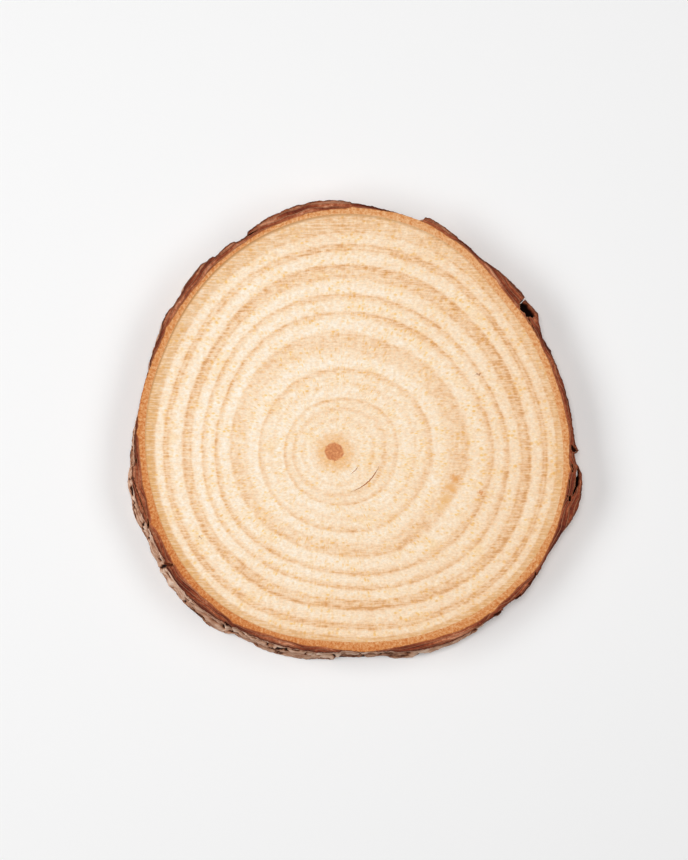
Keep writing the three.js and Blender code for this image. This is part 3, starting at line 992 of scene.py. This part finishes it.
# %% Cut the clefts
# Depth in mm where a cleft's wall is blackest, its painted shade deepest.
BLACK_FROM = 2.2
hollow = cut_walls(
    "pine_bark_hollow_painted_shade", BLACK_FROM, [(0.0, "#140704"), (0.4, "#3A160C"), (1.0, "#8E4426")], 0.95, 0.1
)
HOLLOW_SLOT = len(bark.data.materials)
bark.data.materials.append(hollow)
CLEFT_STEPS = 32
CLEFT_TOP = 1.05
# How ragged the sides are, as a share of the gap.
CLEFT_WOBBLE = 0.3
# Depth of the cut, then its shape: bearing, and where its inner and outer side lie outside the wood's edge,
# in mm.
CLEFTS = [
    (2.4, [(34.0, 3.1, 3.8), (34.6, 2.9, 4.1), (34.9, 2.35, 4.15), (35.6, 2.2, 4.1), (36.4, 2.05, 3.95),
           (37.2, 2.0, 3.95), (37.8, 2.15, 3.85), (38.3, 2.6, 3.8), (38.8, 3.1, 3.7)]),
    (4.5, [(38.5, 3.2, 5.4), (38.9, 3.3, 5.4)]),
    (1.6, [(31.3, 1.7, 1.85), (32.1, 1.95, 2.2), (33.0, 2.1, 2.25), (34.0, 2.1, 2.35), (34.7, 2.3, 2.6)]),
    (2.6, [(349.7, 2.9, 3.05), (350.4, 2.85, 3.2), (351.0, 2.95, 3.5), (351.6, 3.1, 3.75),
           (352.5, 3.2, 4.0), (354.0, 3.15, 4.0), (355.2, 3.2, 3.95), (356.2, 3.4, 3.8)]),
    (2.6, [(348.2, 2.2, 2.6), (348.7, 2.1, 2.75), (349.3, 2.1, 2.75), (349.7, 2.3, 2.55)]),
    (1.6, [(349.1, 1.7, 2.15), (349.6, 1.55, 2.0)]),
    (1.4, [(355.2, 2.1, 2.45), (356.0, 2.2, 2.5), (356.6, 1.95, 2.35), (357.2, 1.95, 2.25)]),
    (1.0, [(351.2, 1.75, 1.95), (352.2, 1.6, 1.85), (353.4, 1.55, 1.8)]),
    (1.5, [(360.05, 2.3, 3.0), (360.4, 2.2, 3.25), (360.9, 1.95, 3.0), (361.3, 1.85, 2.6),
           (361.7, 1.9, 2.3)]),
    (2.0, [(108.6, 1.68, 1.82), (111.6, 1.57, 1.93)]),
    (1.6, [(199.6, 2.6, 2.75), (200.8, 2.65, 3.05), (201.8, 2.9, 3.5), (202.3, 3.3, 3.6)]),
    (0.9, [(187.2, 3.7, 3.85), (190.0, 3.38, 3.55), (193.0, 3.1, 3.25), (196.0, 2.9, 3.05),
           (198.6, 2.72, 2.85)]),
    (1.4, [(181.8, 2.25, 2.45), (182.4, 2.2, 2.6), (183.2, 2.25, 2.45)]),
    (0.9, [(212.9, 3.5, 4.0), (213.6, 2.9, 3.9), (214.2, 2.4, 3.6), (214.8, 2.0, 3.0), (215.3, 1.9, 2.4)]),
    (1.2, [(314.5, 2.75, 3.0), (315.6, 2.85, 3.5), (317.0, 3.05, 3.8)]),
    (1.2, [(321.2, 2.95, 3.9), (322.0, 2.95, 3.8), (322.9, 3.1, 3.5)]),
    (1.0, [(325.9, 2.75, 3.3), (327.5, 2.8, 3.4), (328.8, 2.4, 3.0), (329.3, 2.2, 2.5)]),
    (0.8, [(302.4, 3.9, 4.4), (304.5, 3.75, 4.4), (306.5, 3.6, 4.2), (309.0, 3.3, 4.0)]),
    (1.4, [(237.4, 2.75, 2.95), (238.2, 2.7, 3.3), (239.2, 2.75, 3.7), (240.0, 3.0, 3.8)]),
]
for number, (deep, shape) in enumerate(CLEFTS):
    at, inner, outer = np.array(shape).T
    blade = spin_blade(f"cleft_{number}", at[0], at[-1], CLEFT_STEPS)
    bearing, out, up = turned_places(blade)
    bearing = at[0] + turn_from(at[0], bearing)
    ragged = np.array([noise.noise(Vector((b * 0.9, o * 3, 1.0))) for b, o in zip(bearing, out)])
    inner_here, outer_here = np.interp(bearing, at, inner), np.interp(bearing, at, outer)
    wobble = CLEFT_WOBBLE * ragged * (outer_here - inner_here)
    depth_here = np.where(out < 1.5, inner_here, outer_here) + wobble
    radius = at_bearing(wood_reach, bearing) + depth_here * MM
    share_up = np.where(up > 0.5, CLEFT_TOP, 1 - deep * MM / THICKNESS)
    move_points(blade, on_log(bearing, radius, share_up))
    for material in bark.data.materials:
        blade.data.materials.append(material)
    for polygon in blade.data.polygons:
        polygon.material_index = HOLLOW_SLOT
    cut(bark, blade)
crisp(bark)
print(bark.name, "after the clefts:", len(bark.data.polygons), "faces")

# %% [markdown]
# ## Join the pieces to the frame
# Both pieces ride on the frame's one body and stand for its two solids.

# %% Ride and replace
for piece, node in ((wood, "wood"), (bark, "bark")):
    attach(piece, "root")
    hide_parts(node)
print("pieces:", wood.name, bark.name)

# %% [markdown]
# ## Studio
# The slice lies on a plain pale floor between two long soft lights, one at each side, so that both sides
# have a soft shadow. A small light near the camera brightens what faces up.

# %% Floor and light
bpy.ops.object.select_all(action="DESELECT")
bpy.ops.mesh.primitive_plane_add(size=3.0, location=(0, 0, -0.1 * MM))
floor = bpy.context.active_object
floor.name = "floor"
paper, shader, _ = new_material("matt_paper")
set_inputs(shader, {"Base Color": colour("#F4F4F4"), "Roughness": 0.9, "Specular IOR Level": 0.1})
floor.data.materials.append(paper)
floor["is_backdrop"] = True


def add_light(name, place, sides, power):
    """A rectangular soft light that faces the slice."""
    bpy.ops.object.light_add(type="AREA", location=place)
    light = bpy.context.active_object
    light.name = name
    light.data.shape = "RECTANGLE"
    light.data.size, light.data.size_y = sides
    light.data.energy = power
    light.rotation_euler = (-Vector(place)).to_track_quat("-Z", "Y").to_euler()


add_light("light_left", (-0.52, 0.0, 0.58), (0.7, 0.37), 3.2)
add_light("light_right", (0.66, 0.1, 0.78), (0.9, 0.42), 3.6)
add_light("light_overhead", (-0.015, 0.055, 0.65), (0.14, 0.14), 1.48)
world = bpy.data.worlds.new("studio")
world.use_nodes = True
set_inputs(world.node_tree.nodes["Background"], {"Color": (1, 1, 1, 1), "Strength": 0.1})
bpy.context.scene.world = world
bpy.context.scene.view_settings.view_transform = "Standard"

# %% [markdown]
# ## Camera
# The photograph looks straight down. The pith's place in the picture and the size of a pixel on the top
# face put the camera over the right point, at the distance where the frame's height fits the lens.

# %% Camera
FRAME_PX = (688, 860)
PIXEL = 0.24 * MM
PITH_PX = (333.4, 452.1)
LENS = 100
SENSOR = 36
distance = FRAME_PX[1] * PIXEL * LENS / SENSOR
over_x = PITH.x + (FRAME_PX[0] / 2 - PITH_PX[0]) * PIXEL
over_y = PITH.y - (FRAME_PX[1] / 2 - PITH_PX[1]) * PIXEL
bpy.ops.object.camera_add(location=(over_x, over_y, THICKNESS + distance), rotation=(0, 0, 0))
camera = bpy.context.active_object
camera.data.lens = LENS
camera.data.sensor_width = SENSOR
camera.data.clip_start = 0.01
bpy.context.scene.camera = camera
print("camera", round(distance, 3), "m above the top face")

# %% [markdown]
# ## Size
# The dressed slice's box is printed, in mm. The dressed slice has to keep to the frame's box.

# %% Print the size
low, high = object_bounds()
print("dressed box in mm:", [round(side / MM, 2) for side in high - low])
